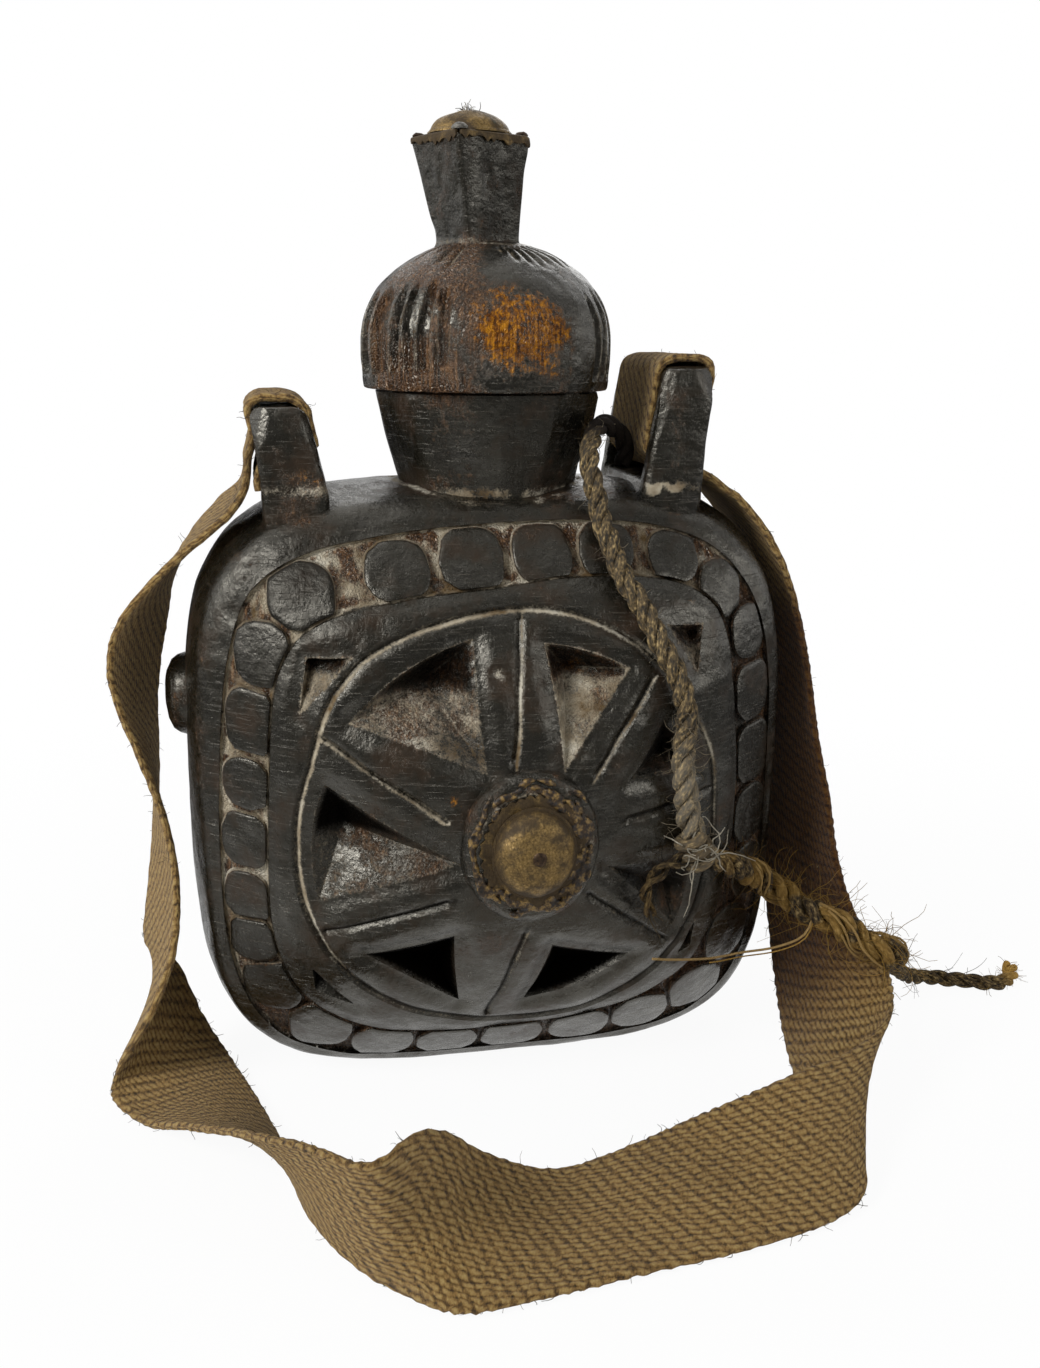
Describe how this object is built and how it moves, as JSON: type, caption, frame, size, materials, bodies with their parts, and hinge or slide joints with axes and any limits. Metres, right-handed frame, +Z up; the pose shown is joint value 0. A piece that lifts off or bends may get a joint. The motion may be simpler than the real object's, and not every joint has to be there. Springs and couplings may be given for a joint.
{
  "type": "carved wooden water flask",
  "caption": "Rounded-square wooden water flask with a carved wheel and roundel border, flared neck, slotted lugs, plug lid with square finial, brass trim, webbing strap and cord.",
  "frame": {"origin": "middle of the flat foot on which the flask stands", "axes": "+Z up through the neck, -Y out of the carved face that the picture shows, +X to that face's right"},
  "size_m": [0.3415, 0.2191, 0.3094],
  "materials": {
    "dark_wood": "oiled, worn satin",
    "aged_brass": "dull, patinated",
    "dark_iron": "blackened",
    "webbing": "coarse twill, frayed edges",
    "jute": "laid cord, hairy"
  },
  "bodies": {
    "flask": {"flask_body": "dark_wood", "hub_washer": "aged_brass", "hub_dome": "aged_brass", "hub_nail": "dark_iron", "carry_strap": "webbing", "tether_cord": "jute", "tether_branch": "jute"},
    "lid": {"lid": "dark_wood", "finial_plate": "aged_brass", "finial_dome": "aged_brass", "finial_tack_1": "dark_iron", "finial_tack_2": "dark_iron", "finial_tack_3": "dark_iron", "finial_tack_4": "dark_iron"}
  },
  "joints": [
    {"name": "lid_lift", "type": "slide", "parent": "flask", "child": "lid", "axis": [0, 0, 1], "range_m": [0, 0.06]}
  ]
}
